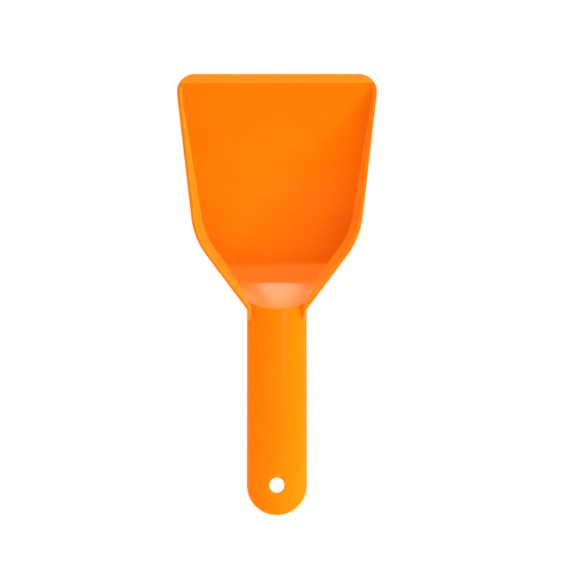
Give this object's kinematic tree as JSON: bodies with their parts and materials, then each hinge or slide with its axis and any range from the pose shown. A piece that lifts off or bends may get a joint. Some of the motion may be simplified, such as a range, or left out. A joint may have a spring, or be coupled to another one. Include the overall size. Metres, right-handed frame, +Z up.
{
  "type": "hand scoop",
  "caption": "One-piece moulded plastic hand scoop: open pan with rising side walls, ramped back, domed channel handle and hanging hole.",
  "frame": {"origin": "centre of the flat underside of the pan that the scoop rests on", "axes": "+Y out of the mouth, away from the handle; +Z up, out of the open pan; +X across the scoop"},
  "size_m": [0.091, 0.2, 0.018],
  "materials": {
    "orange_plastic": "glossy injection-moulded orange plastic, lightly scuffed"
  },
  "bodies": {
    "root": {"scoop_moulding": "orange_plastic"}
  },
  "joints": []
}
